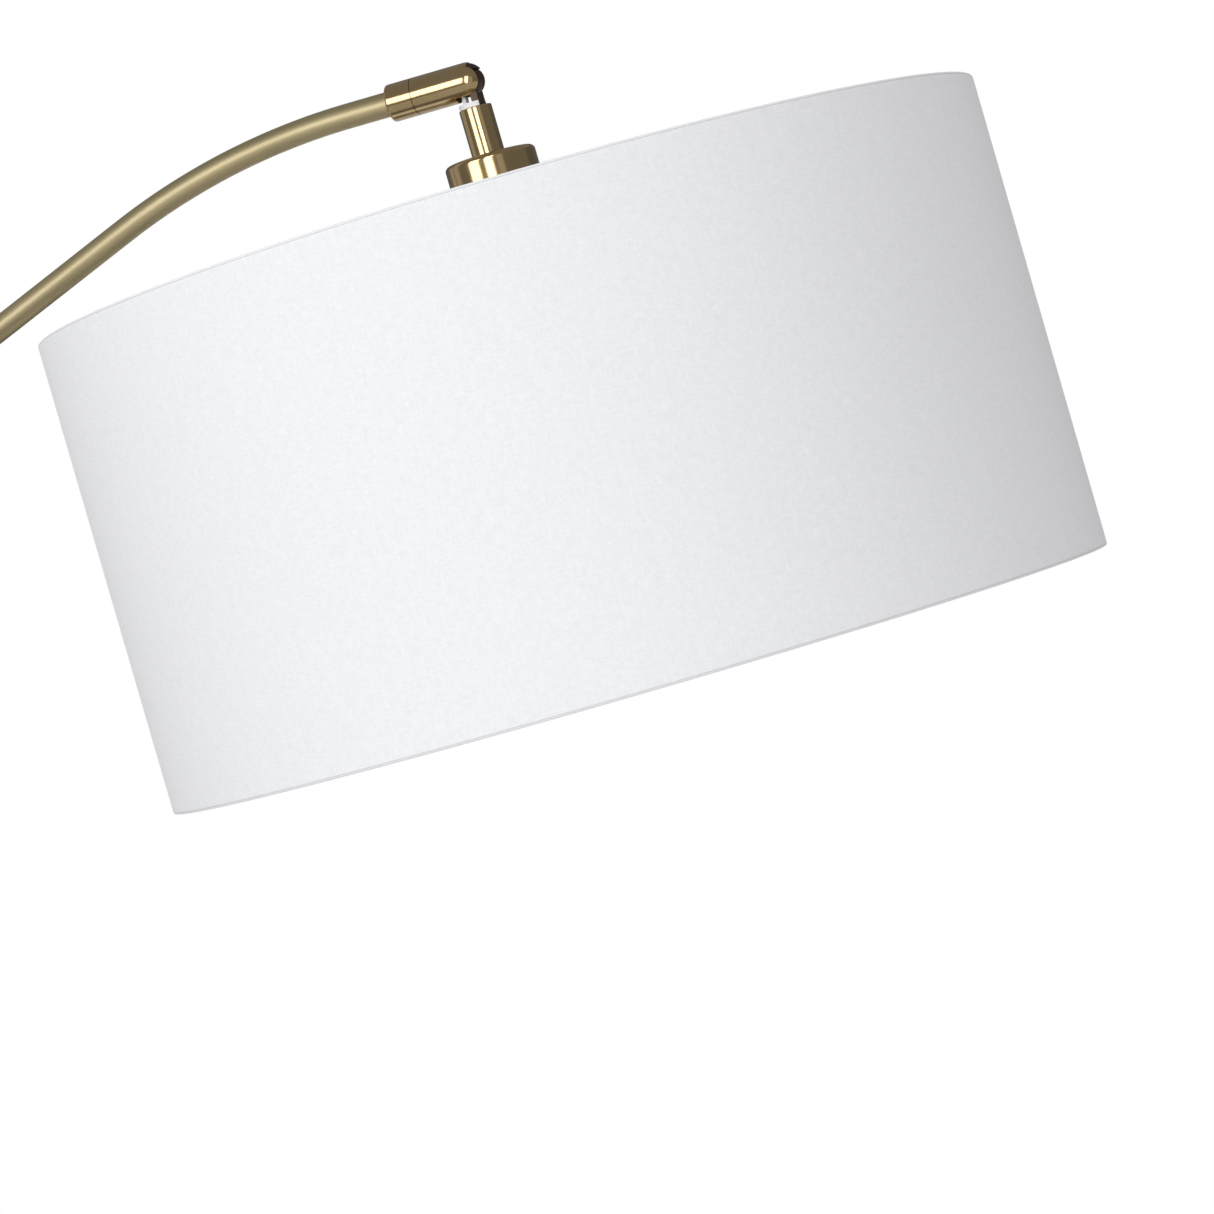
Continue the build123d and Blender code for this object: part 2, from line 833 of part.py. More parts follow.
for place, group in ((barrel_frame, barrel_parts), (head_frame, head_parts)):
    for name, shape in group.items():
        solids = shape if isinstance(shape, list) else [shape]
        placed = [place * solid for solid in solids]
        parts[name] = placed[0] if len(placed) == 1 else Compound(children=placed)

print("pivot", [round(value, 2) for value in pivot])
os.makedirs("parts", exist_ok=True)
for name, shape in parts.items():
    export_step(shape, f"parts/{name}.step")
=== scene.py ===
import json
from math import atan2, cos, pi, radians, sin

import bmesh
import bpy
from mathutils import Matrix, Vector

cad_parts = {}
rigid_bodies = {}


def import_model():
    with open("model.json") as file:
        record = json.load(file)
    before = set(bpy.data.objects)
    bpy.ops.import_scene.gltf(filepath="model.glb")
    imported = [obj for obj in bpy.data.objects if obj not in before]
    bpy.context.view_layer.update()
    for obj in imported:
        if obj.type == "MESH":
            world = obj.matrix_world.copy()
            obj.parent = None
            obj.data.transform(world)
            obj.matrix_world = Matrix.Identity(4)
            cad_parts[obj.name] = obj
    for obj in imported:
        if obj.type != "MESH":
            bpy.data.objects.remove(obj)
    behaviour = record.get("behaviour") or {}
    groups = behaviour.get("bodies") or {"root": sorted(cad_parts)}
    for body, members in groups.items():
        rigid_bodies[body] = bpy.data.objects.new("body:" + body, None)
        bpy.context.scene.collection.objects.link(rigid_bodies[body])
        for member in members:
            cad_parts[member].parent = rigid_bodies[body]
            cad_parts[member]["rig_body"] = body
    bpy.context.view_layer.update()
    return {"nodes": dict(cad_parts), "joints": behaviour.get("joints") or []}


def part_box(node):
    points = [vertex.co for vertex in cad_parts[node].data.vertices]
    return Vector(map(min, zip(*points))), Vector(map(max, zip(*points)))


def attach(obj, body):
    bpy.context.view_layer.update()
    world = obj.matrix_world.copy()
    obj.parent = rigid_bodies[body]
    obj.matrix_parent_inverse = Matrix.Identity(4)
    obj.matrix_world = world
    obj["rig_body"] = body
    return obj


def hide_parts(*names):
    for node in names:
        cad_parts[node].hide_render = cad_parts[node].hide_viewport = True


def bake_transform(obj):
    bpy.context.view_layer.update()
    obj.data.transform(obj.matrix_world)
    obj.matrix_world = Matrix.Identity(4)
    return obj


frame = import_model()
nodes = frame["nodes"]
joints = {joint["name"]: joint for joint in frame["joints"]}
scene = bpy.context.scene

# Sizes in metres
millimetre = 0.001
tube_radius = 6.0 * millimetre
arm_rise = 46.0 * millimetre
lower_bend_radius = 450.0 * millimetre
boom_angle = radians(36.1)
boom_length = 520.0 * millimetre
upper_bend_radius = 350.0 * millimetre
rest_tilt = radians(1.7)
barrel_radius = 9.0 * millimetre
seam_place = 26.45 * millimetre
stem_shoulder = 12.8 * millimetre
core_radius = 1.15 * millimetre
core_spread = 1.3 * millimetre
core_bend_radius = 7.0 * millimetre
core_start = -10.85 * millimetre
core_end = -15.0 * millimetre
wire_hole_offset = -3.6 * millimetre
cloth_thickness = 0.5 * millimetre
cloth_roll_width = 3.0 * millimetre
cloth_roll_squareness = 0.3
# Place and width of the thin shadow line painted along each rim of the cloth
rim_shadow_place = 4.3 * millimetre
rim_shadow_width = 0.35 * millimetre
rim_shadow_core_share = 0.2
rim_shadow_edge_share = 0.8
cloth_turn_in = 12.0 * millimetre
cloth_glue_from = 0.12
cloth_glue_to = 0.7
cloth_lap = 12.0 * millimetre
cloth_lap_lift = 0.6 * millimetre
liner_wall = 0.57 * millimetre
liner_gap = 0.3 * millimetre
knob_flutes = 18
knob_flute_depth = 0.45 * millimetre
knob_edge = 0.8 * millimetre
knob_hole_gap = 0.05 * millimetre
ring_flutes = 40
ring_flute_depth = 0.7 * millimetre
ring_edge = 0.6 * millimetre
ring_bore_gap = 0.05 * millimetre
thread_pitch = 3.63 * millimetre
thread_depth = 0.55 * millimetre
thread_row = 0.45 * millimetre
shell_wall = 0.5 * millimetre
bulb_cap_wall = 0.6 * millimetre
bulb_cap_edge = 0.6 * millimetre
bulb_tip_radius = 4.5 * millimetre
bulb_tip_height = 1.5 * millimetre

# Fineness of the meshes
cloth_columns = 241
cloth_rows = 61
roll_steps = 6
lining_steps = 240
tube_sides = 64
core_sides = 24
bend_steps = 64
core_bend_steps = 24
edge_steps = 6
thread_steps = 96
steps_per_knob_flute = 12
steps_per_ring_flute = 10
tube_spacing = 20.0 * millimetre
core_spacing = 1.0 * millimetre
merge_distance = 1e-7
degenerate_length = 1e-8
sharp_angle = radians(35)
cloth_sharp_angle = radians(80)

# The stand keeps the lamp's own frame, and the barrel's frame has +Z along the barrel.
# The head's has its origin on the pivot and +Z up the shade's axis, the switch's has +Z along its shaft.
pivot = Vector(joints["head_tilt"]["pos_m"])
barrel_direction = Vector(joints["head_swivel"]["axis"])
tip_angle = atan2(barrel_direction.z, barrel_direction.x)
stand_frame = Matrix.Identity(4)
barrel_frame = Matrix.Translation(pivot) @ Matrix.Rotation(pi / 2 - tip_angle, 4, "Y")
head_frame = Matrix.Translation(pivot) @ Matrix.Rotation(-tip_angle - rest_tilt, 4, "Y")
switch_frame = Matrix.Translation(joints["switch_turn"]["pos_m"]) @ Matrix.Rotation(pi / 2, 4, "X")


def extent(node, place):
    """Lowest and highest corners of a node in a frame of its own."""
    inverse = place.inverted()
    points = [inverse @ vertex.co for vertex in nodes[node].data.vertices]
    low = Vector([min(point[axis] for point in points) for axis in range(3)])
    high = Vector([max(point[axis] for point in points) for axis in range(3)])
    return low, high


# Nodes for shaders and geometry

def put(tree, kind, values=None, **settings):
    """Adds a node. A value is a number, a colour or another node's output."""
    node = tree.nodes.new(kind)
    for name, setting in settings.items():
        setattr(node, name, setting)
    for key, value in (values or {}).items():
        if isinstance(value, bpy.types.NodeSocket):
            tree.links.new(value, node.inputs[key])
        else:
            node.inputs[key].default_value = value
    return node


def calc(tree, operation, *values):
    """Arithmetic on numbers and outputs."""
    return put(tree, "ShaderNodeMath", dict(enumerate(values)), operation=operation).outputs[0]


def total(tree, *values):
    """Sum of numbers and outputs."""
    result = values[0]
    for value in values[1:]:
        result = calc(tree, "ADD", result, value)
    return result


def ramp(tree, source, low, high, to_low=0.0, to_high=1.0, curve="LINEAR"):
    """Maps a range onto another and holds its ends."""
    values = {0: source, 1: low, 2: high, 3: to_low, 4: to_high}
    return put(tree, "ShaderNodeMapRange", values, interpolation_type=curve).outputs[0]


# Finishes, with tones in linear light, scales per metre and depths in metres
turned_lines = (30, 30, 4200)
drawn_lines = (2600, 2600, 9)
brass_patch_scale = 28.0
brass_grain_scale = 5200.0
brass_line_depth = 0.004 * millimetre
brass_tone_range = (0.7, 1.3)
brass_sheen_range = (0.6, 1.4)
lacquer_roughness = 0.14
warm_tones = ((0.6, 0.43, 0.21), (0.68, 0.5, 0.25))
olive_tones = ((0.6, 0.5, 0.28), (0.68, 0.57, 0.33))
# Dark tones painted into the barrel's slot, bore and end and onto the tongue, as their shade
recess_shade_tones = ((0.095, 0.066, 0.05), (0.15, 0.105, 0.08))
bare_roughness = 0.5
polished = (0.12, 0.18)
satin = (0.48, 0.58)
polished_coat = 0.6
satin_coat = 0.5
skin_fade_from = 0.05 * millimetre
skin_fade_to = 0.2 * millimetre
collar_fade = 0.15 * millimetre
warp_threads = (1300, 200, 1)
weft_threads = (180, 1300, 1)
slub_threads = (600, 25, 1)
slub_share = 0.35
thread_height = 0.1 * millimetre
linen_height_range = (0.8, 1.5)
linen_tones = ((0.792, 0.794, 0.812), (0.876, 0.878, 0.898))
# Tone of the shadow line painted along the rims
rim_shadow_tone = (0.52, 0.52, 0.52)
plain_noise_range = (0.3, 0.7)
grain_per_mottle = 12
smooth_grain = 0.01 * millimetre
fine_grain = 0.02 * millimetre
rubber_grain = 0.03 * millimetre
cast_grain = 0.2 * millimetre
felt_grain = 0.4 * millimetre


def new_finish(name):
    """Material with its shader, ready for nodes."""
    finish = bpy.data.materials.new(name)
    finish.use_nodes = True
    return finish, finish.node_tree, finish.node_tree.nodes["Principled BSDF"]


def stretched(tree, source, stretch):
    """Coordinates scaled along their axes."""
    return put(tree, "ShaderNodeMapping", {"Vector": source, "Scale": stretch}).outputs[0]


def object_place(tree, place=stand_frame):
    """Object coordinates in a frame of the piece's own."""
    inverse = place.inverted()
    return put(tree, "ShaderNodeMapping", {
        "Vector": put(tree, "ShaderNodeTexCoord").outputs["Object"],
        "Location": inverse.to_translation(),
        "Rotation": inverse.to_euler("XYZ"),
    }).outputs[0]


def tube_place(tree):
    """Coordinates that follow a bent tube: across its section, and along its length as Z."""
    section = put(tree, "ShaderNodeAttribute", attribute_name="section").outputs["Vector"]
    along = put(tree, "ShaderNodeAttribute", attribute_name="along").outputs["Fac"]
    length = put(tree, "ShaderNodeCombineXYZ", {"Z": along}).outputs[0]
    return put(tree, "ShaderNodeVectorMath", {0: section, 1: length}, operation="ADD").outputs[0]


def noise(tree, place, scale, detail=3.0, roughness=0.55):
    """Noise between 0 and 1 at the given points."""
    values = {"Vector": place, "Scale": scale, "Detail": detail, "Roughness": roughness}
    return put(tree, "ShaderNodeTexNoise", values).outputs[0]


def shades(tree, factor, dark, light):
    """Blend of two colours, each given plainly or as an output."""
    values = {"Factor": factor}
    for key, colour in ((6, dark), (7, light)):
        values[key] = colour if isinstance(colour, bpy.types.NodeSocket) else (*colour, 1)
    return put(tree, "ShaderNodeMix", values, data_type="RGBA").outputs[2]


def relief(tree, height, depth, strength=1.0):
    """Bump of the given depth in metres."""
    values = {"Height": height, "Distance": depth, "Strength": strength}
    return put(tree, "ShaderNodeBump", values).outputs[0]


def feed(tree, shader, **sources):
    """Links textures to the shader, or sets its plain values."""
    for name, source in sources.items():
        socket = shader.inputs[name.replace("_", " ")]
        if isinstance(source, bpy.types.NodeSocket):
            tree.links.new(source, socket)
        else:
            socket.default_value = source


def barrel_skin(tree, place):
    """1 on the barrel's round outside and on the collar, 0 in the barrel's slot, bore and end, where
    shade is painted.
    """
    at = put(tree, "ShaderNodeSeparateXYZ", {0: place}).outputs
    ahead = calc(tree, "MAXIMUM", at["Z"], 0.0)
    from_axis = put(tree, "ShaderNodeCombineXYZ", {"X": at["X"], "Y": at["Y"], "Z": ahead}).outputs[0]
    depth = put(tree, "ShaderNodeVectorMath", {0: from_axis}, operation="LENGTH").outputs["Value"]
    outside = ramp(tree, depth, barrel_radius - skin_fade_to, barrel_radius - skin_fade_from)
    collar = ramp(tree, at["Z"], -seam_place, -seam_place - collar_fade)
    return calc(tree, "MAXIMUM", outside, collar)


def stem_skin(tree, place):
    """1 below the stem's shoulder, 0 on the tongue above it, where shade is painted."""
    at = put(tree, "ShaderNodeSeparateXYZ", {0: place}).outputs
    return ramp(tree, at["Z"], skin_fade_to - stem_shoulder, skin_fade_from - stem_shoulder)


def brass(name, place_of, lines, tones, gloss, coat, skin=None):
    """Lacquered brass with the fine lines of its tool. Off its skin it is left unlacquered and rough,
    and its tone is darkened as painted shade.
    """
    finish, tree, shader = new_finish(name)
    place = place_of(tree)
    patches = noise(tree, place, brass_patch_scale)
    tooling = noise(tree, stretched(tree, place, lines), 1.0, detail=4.0, roughness=0.7)
    grain = noise(tree, place, brass_grain_scale, detail=2.0)
    tone = shades(tree, ramp(tree, total(tree, patches, tooling), *brass_tone_range), *tones)
    sheen = ramp(tree, total(tree, grain, tooling), *brass_sheen_range, *gloss)
    if skin:
        lacquered_unshaded = skin(tree, place)
        # Off the skin the tone is darkened as painted shade, and the coat and gloss drop as well
        recess_shade = shades(tree, patches, *recess_shade_tones)
        tone = shades(tree, lacquered_unshaded, recess_shade, tone)
        sheen = ramp(tree, lacquered_unshaded, 0.0, 1.0, bare_roughness, sheen)
        coat = ramp(tree, lacquered_unshaded, 0.0, 1.0, 0.0, coat)
    feed(
        tree, shader,
        Base_Color=tone,
        Roughness=sheen,
        Normal=relief(tree, tooling, brass_line_depth),
        Metallic=1.0,
        Coat_Weight=coat,
        Coat_Roughness=lacquer_roughness,
    )
    return finish


def linen():
    """White linen: uneven threads both ways, with slubs, and a thin painted shadow line along both rims.
    """
    finish, tree, shader = new_finish("shade_linen_cloth")
    cloth = put(tree, "ShaderNodeUVMap", uv_map="UVMap").outputs[0]
    warp = noise(tree, stretched(tree, cloth, warp_threads), 1.0, detail=2.0, roughness=0.6)
    weft = noise(tree, stretched(tree, cloth, weft_threads), 1.0, detail=2.0, roughness=0.6)
    slubs = noise(tree, stretched(tree, cloth, slub_threads), 1.0, detail=2.0, roughness=0.5)
    height = total(tree, warp, weft, calc(tree, "MULTIPLY", slubs, slub_share))
    tone = shades(tree, ramp(tree, height, *linen_height_range), *linen_tones)
    # Near each rim's fold a thin band is darkened: painted shadow, not a crease in the cloth
    from_rim = put(tree, "ShaderNodeAttribute", attribute_name="from_rim").outputs["Fac"]
    from_rim_shadow = calc(tree, "ABSOLUTE", calc(tree, "SUBTRACT", from_rim, rim_shadow_place))
    rim_shadow_core = rim_shadow_core_share * rim_shadow_width
    rim_shadow_edge = rim_shadow_edge_share * rim_shadow_width
    crease = ramp(tree, from_rim_shadow, rim_shadow_core, rim_shadow_edge, 1.0, 0.0)
    feed(
        tree, shader,
        Base_Color=shades(tree, crease, tone, rim_shadow_tone),
        Normal=relief(tree, height, thread_height, strength=0.5),
        Roughness=0.9,
        Specular_IOR_Level=0.2,
        Sheen_Weight=0.1,
    )
    return finish


def plain_finish(name, dark, light, scale, rough, depth, **plain):
    """Finish with a mottled tone, uneven gloss and a fine grain."""
    finish, tree, shader = new_finish(name)
    place = object_place(tree)
    mottle = noise(tree, place, scale)
    grain = noise(tree, place, scale * grain_per_mottle, detail=2.0)
    feed(
        tree, shader,
        Base_Color=shades(tree, ramp(tree, mottle, *plain_noise_range), dark, light),
        Roughness=ramp(tree, grain, *plain_noise_range, *rough),
        Normal=relief(tree, grain, depth),
        **plain,
    )
    return finish


def head_place(tree):
    """Object coordinates in the head's frame."""
    return object_place(tree, head_frame)


def barrel_place(tree):
    """Object coordinates in the barrel's frame."""
    return object_place(tree, barrel_frame)


tube_brass = brass("tube_brass", tube_place, drawn_lines, olive_tones, satin, satin_coat)
stand_brass = brass("stand_brass", object_place, turned_lines, olive_tones, satin, satin_coat)
head_brass = brass(
    "head_brass", head_place, turned_lines, warm_tones, polished, polished_coat, stem_skin,
)
barrel_brass = brass(
    "barrel_brass", barrel_place, turned_lines, warm_tones, polished, polished_coat, barrel_skin,
)
finishes = {
    "shade_linen": linen(),
    "base_iron": plain_finish(
        "cast_iron", (0.03, 0.03, 0.032), (0.06, 0.06, 0.062),
        160, (0.6, 0.8), cast_grain,
    ),
    "base_felt": plain_finish(
        "felt", (0.02, 0.021, 0.022), (0.05, 0.05, 0.052),
        900, (0.92, 1.0), felt_grain,
    ),
    "zinc_steel": plain_finish(
        "zinc_steel", (0.48, 0.49, 0.5), (0.6, 0.61, 0.62),
        220, (0.28, 0.42), smooth_grain, Metallic=1.0,
    ),
    "black_rubber": plain_finish(
        "rubber", (0.018, 0.018, 0.019), (0.03, 0.03, 0.031),
        400, (0.5, 0.65), rubber_grain,
    ),
    "white_nylon": plain_finish(
        "nylon", (0.8, 0.79, 0.8), (0.87, 0.86, 0.87),
        300, (0.35, 0.5), smooth_grain,
    ),
    "lead_jacket": plain_finish(
        "lead_jacket", (0.74, 0.73, 0.74), (0.84, 0.83, 0.84),
        400, (0.3, 0.45), smooth_grain,
    ),
    "shade_styrene": plain_finish(
        "styrene", (0.8, 0.8, 0.8), (0.86, 0.86, 0.855),
        60, (0.35, 0.5), fine_grain,
    ),
    "shade_wire": plain_finish(
        "coated_wire", (0.72, 0.72, 0.71), (0.82, 0.82, 0.81),
        200, (0.3, 0.45), fine_grain,
    ),
    "socket_phenolic": plain_finish(
        "phenolic", (0.02, 0.019, 0.018), (0.035, 0.033, 0.03),
        250, (0.3, 0.42), smooth_grain,
    ),
    "socket_brass": plain_finish(
        "bare_brass", (0.62, 0.48, 0.22), (0.72, 0.57, 0.28),
        200, (0.22, 0.32), smooth_grain, Metallic=1.0,
    ),
    "bulb_glass": plain_finish(
        "opal_glass", (0.82, 0.82, 0.81), (0.86, 0.86, 0.85),
        40, (0.12, 0.2), smooth_grain,
    ),
    "bulb_aluminium": plain_finish(
        "aluminium", (0.6, 0.61, 0.62), (0.7, 0.71, 0.72),
        220, (0.25, 0.38), smooth_grain, Metallic=1.0,
    ),
}

# Every carried-over node gets its finish
for node in nodes.values():
    slot = node.data.materials[0].name
    body = node["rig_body"]
    if slot != "satin_brass":
        finish = finishes[slot]
    elif body == "head":
        finish = head_brass
    elif body == "knuckle" or node.name == "arm_collar":
        finish = barrel_brass
    else:
        finish = stand_brass
    node.data.materials[0] = finish


# Geometry trees

def new_tree(name, inputs):
    """Geometry tree with named inputs, and the outputs of its group input."""
    tree = bpy.data.node_groups.new(name, "GeometryNodeTree")
    tree.interface.new_socket("Geometry", in_out="INPUT", socket_type="NodeSocketGeometry")
    for label, kind in inputs.items():
        tree.interface.new_socket(label, in_out="INPUT", socket_type="NodeSocket" + kind)
    tree.interface.new_socket("Finish", in_out="INPUT", socket_type="NodeSocketMaterial")
    tree.interface.new_socket("Geometry", in_out="OUTPUT", socket_type="NodeSocketGeometry")
    return tree, put(tree, "NodeGroupInput").outputs


def end_tree(tree, geometry, given):
    """Ends a tree with real, smooth geometry that carries its finish."""
    real = put(tree, "GeometryNodeRealizeInstances", {"Geometry": geometry}).outputs[0]
    smooth = put(tree, "GeometryNodeSetShadeSmooth", {"Geometry": real}).outputs[0]
    painted = put(tree, "GeometryNodeSetMaterial", {"Geometry": smooth, "Material": given["Finish"]})
    put(tree, "NodeGroupOutput", {0: painted.outputs[0]})
    return tree


def position_parts(tree):
    """X, Y and Z of each point."""
    position = put(tree, "GeometryNodeInputPosition").outputs[0]
    return put(tree, "ShaderNodeSeparateXYZ", {0: position}).outputs


def drum_cloth_tree():
    """Strip of cloth rolled into a drum, with both edges turned in round a wire and glued inside.

    Across the strip come five equal shares of rows: turn-in, roll, wall, roll and turn-in.
    """
    tree, given = new_tree("drum_cloth", {
        "Width": "Float", "Lap": "Float", "Lap Lift": "Float", "Radius": "Float",
        "Turn In": "Float", "Roll": "Float", "Roll Width": "Float", "Roll Depth": "Float",
        "Squareness": "Float", "Low Wire": "Float", "Wall": "Float", "Glue Step": "Float",
        "Columns": "Int", "Rows": "Int",
    })
    strip = put(tree, "GeometryNodeMeshGrid", {
        "Size X": given["Width"], "Size Y": 1.0,
        "Vertices X": given["Columns"], "Vertices Y": given["Rows"],
    }).outputs["Mesh"]
    place = position_parts(tree)
    round_way = place["X"]
    share = calc(tree, "ADD", place["Y"], 0.5)

    low_turn_in = ramp(tree, share, 0.0, 0.2, given["Turn In"], 0.0)
    low_roll = ramp(tree, share, 0.2, 0.4, 0.0, pi)
    rise = ramp(tree, share, 0.4, 0.6, 0.0, given["Wall"])
    top_roll = ramp(tree, share, 0.6, 0.8, 0.0, pi)
    top_turn_in = ramp(tree, share, 0.8, 1.0, 0.0, given["Turn In"])

    def glued(turn_in):
        """Step of a turned-in edge towards the lining that it is glued to."""
        near = calc(tree, "MULTIPLY", given["Turn In"], cloth_glue_from)
        far = calc(tree, "MULTIPLY", given["Turn In"], cloth_glue_to)
        return ramp(tree, turn_in, near, far, 0.0, given["Glue Step"], "SMOOTHSTEP")

    half_width = calc(tree, "MULTIPLY", given["Width"], 0.5)
    lap_start = calc(tree, "SUBTRACT", half_width, given["Lap"])
    lap_ease = calc(tree, "SUBTRACT", lap_start, calc(tree, "MULTIPLY", given["Lap"], 0.5))
    lift = ramp(tree, round_way, lap_ease, lap_start, 0.0, given["Lap Lift"], "SMOOTHSTEP")

    def squared(wave):
        """Flattens a sine into that of a rounded square."""
        size = calc(tree, "POWER", calc(tree, "ABSOLUTE", wave), given["Squareness"])
        return calc(tree, "MULTIPLY", calc(tree, "SIGN", wave), size)

    def roll_in(turn):
        """Place of a roll's point across the wall, from 1 on one side to -1 on the other."""
        return squared(calc(tree, "COSINE", turn))

    def roll_out(turn):
        """Place of a roll's point past the wire, from 0 at its sides to 1 at the rim."""
        return squared(calc(tree, "SINE", turn))

    inward = calc(tree, "SUBTRACT", roll_in(top_roll), roll_in(low_roll))
    middle = calc(tree, "SUBTRACT", given["Radius"], calc(tree, "MULTIPLY", given["Roll Width"], 2.0))
    reach = total(
        tree, middle, calc(tree, "MULTIPLY", inward, given["Roll Width"]),
        glued(low_turn_in), glued(top_turn_in), lift,
    )
    bulge = calc(tree, "SUBTRACT", roll_out(top_roll), roll_out(low_roll))
    height = total(
        tree, given["Low Wire"], low_turn_in, rise,
        calc(tree, "MULTIPLY", bulge, given["Roll Depth"]),
        calc(tree, "MULTIPLY", top_turn_in, -1.0),
    )
    angle = calc(tree, "SUBTRACT", calc(tree, "DIVIDE", round_way, given["Radius"]), pi / 2)
    bent = put(tree, "ShaderNodeCombineXYZ", {
        "X": calc(tree, "MULTIPLY", reach, calc(tree, "COSINE", angle)),
        "Y": calc(tree, "MULTIPLY", reach, calc(tree, "SINE", angle)),
        "Z": height,
    }).outputs[0]
    roll_per_turn = calc(tree, "DIVIDE", given["Roll"], pi)
    rolled = calc(tree, "MULTIPLY", calc(tree, "ADD", low_roll, top_roll), roll_per_turn)
    across = total(tree, rise, rolled, top_turn_in, calc(tree, "MULTIPLY", low_turn_in, -1.0))
    flat = put(tree, "ShaderNodeCombineXYZ", {"X": round_way, "Y": across}).outputs[0]
    mapped = put(tree, "GeometryNodeStoreNamedAttribute", {
        "Geometry": strip, "Name": "UVMap", "Value": flat,
    }, data_type="FLOAT2", domain="CORNER").outputs[0]
    # Distance across the strip from each rim, which the linen uses for its painted shadow line
    low_rim = calc(tree, "MULTIPLY", given["Roll"], 0.5)
    top_rim = total(tree, given["Wall"], given["Roll"], low_rim)
    from_low = calc(tree, "ABSOLUTE", calc(tree, "SUBTRACT", across, low_rim))
    from_top = calc(tree, "ABSOLUTE", calc(tree, "SUBTRACT", across, top_rim))
    marked = put(tree, "GeometryNodeStoreNamedAttribute", {
        "Geometry": mapped, "Name": "from_rim", "Value": calc(tree, "MINIMUM", from_low, from_top),
    }).outputs[0]
    drum = put(tree, "GeometryNodeSetPosition", {"Geometry": marked, "Position": bent}).outputs[0]
    return end_tree(tree, drum, given)


def bent_tube_tree():
    """Round tube along the edges of a path, with its length and its section kept for the finish."""
    tree, given = new_tree("bent_tube", {"Radius": "Float", "Sides": "Int"})
    path = put(tree, "GeometryNodeMeshToCurve", {"Mesh": given["Geometry"]}).outputs[0]
    length = put(tree, "GeometryNodeSplineParameter").outputs["Length"]
    measured = put(tree, "GeometryNodeStoreNamedAttribute", {
        "Geometry": path, "Name": "along", "Value": length,
    }).outputs[0]
    rim = put(tree, "GeometryNodeCurvePrimitiveCircle", {
        "Resolution": given["Sides"], "Radius": given["Radius"],
    }).outputs["Curve"]
    section = put(tree, "GeometryNodeStoreNamedAttribute", {
        "Geometry": rim, "Name": "section", "Value": put(tree, "GeometryNodeInputPosition").outputs[0],
    }, data_type="FLOAT_VECTOR").outputs[0]
    tube = put(tree, "GeometryNodeCurveToMesh", {
        "Curve": measured, "Profile Curve": section, "Fill Caps": True,
    }).outputs[0]
    return end_tree(tree, tube, given)


def round_place(tree):
    """Angle and distance round the Z axis, height, and the outward direction."""
    place = position_parts(tree)
    level = put(tree, "ShaderNodeCombineXYZ", {"X": place["X"], "Y": place["Y"]}).outputs[0]
    distance = put(tree, "ShaderNodeVectorMath", {0: level}, operation="LENGTH").outputs["Value"]
    outward = put(tree, "ShaderNodeVectorMath", {0: level}, operation="NORMALIZE").outputs[0]
    return calc(tree, "ARCTAN2", place["Y"], place["X"]), distance, place["Z"], outward


def pushed_out(tree, geometry, outward, amount):
    """Moves points along the outward direction."""
    offset = put(tree, "ShaderNodeVectorMath", {0: outward, "Scale": amount}, operation="SCALE")
    values = {"Geometry": geometry, "Offset": offset.outputs[0]}
    return put(tree, "GeometryNodeSetPosition", values).outputs[0]


def fluted_tree():
    """Even flutes cut along a turned piece, outside the given radius."""
    tree, given = new_tree("flutes", {
        "Count": "Int", "Depth": "Float", "Inside": "Float", "Outside": "Float",
    })
    angle, distance, _, outward = round_place(tree)
    wave = calc(tree, "COSINE", calc(tree, "MULTIPLY", angle, given["Count"]))
    dip = ramp(tree, wave, -1.0, 1.0, calc(tree, "MULTIPLY", given["Depth"], -1.0), 0.0)
    edge = ramp(tree, distance, given["Inside"], given["Outside"])
    cut = pushed_out(tree, given["Geometry"], outward, calc(tree, "MULTIPLY", dip, edge))
    return end_tree(tree, cut, given)


def threaded_tree():
    """Rounded screw thread rolled out of a turned sleeve, fading out at both ends."""
    tree, given = new_tree("thread", {
        "Pitch": "Float", "Depth": "Float", "Low": "Float", "High": "Float", "Inside": "Float",
    })
    angle, distance, height, outward = round_place(tree)
    risen = calc(tree, "DIVIDE", height, given["Pitch"])
    turns = calc(tree, "SUBTRACT", risen, calc(tree, "DIVIDE", angle, 2 * pi))
    wave = calc(tree, "COSINE", calc(tree, "MULTIPLY", turns, 2 * pi))
    bulge = ramp(tree, wave, -1.0, 1.0, 0.0, given["Depth"])
    from_low = ramp(tree, height, given["Low"], calc(tree, "ADD", given["Low"], given["Pitch"]))
    from_high = ramp(tree, height, given["High"], calc(tree, "SUBTRACT", given["High"], given["Pitch"]))
    wall = calc(tree, "GREATER_THAN", distance, given["Inside"])
    share = calc(tree, "MULTIPLY", calc(tree, "MULTIPLY", from_low, from_high), wall)
    rolled = pushed_out(tree, given["Geometry"], outward, calc(tree, "MULTIPLY", bulge, share))
    return end_tree(tree, rolled, given)


drum_cloth = drum_cloth_tree()
bent_tube = bent_tube_tree()
fluted = fluted_tree()
threaded = threaded_tree()


# Meshes

def path_mesh(name, *runs):
    """Edges that join the points of each run."""
    points = []
    edges = []
    for run in runs:
        first = len(points)
        points += run
        edges += [(index, index + 1) for index in range(first, len(points) - 1)]
    mesh = bpy.data.meshes.new(name)
    mesh.from_pydata(points, edges, [])
    return mesh


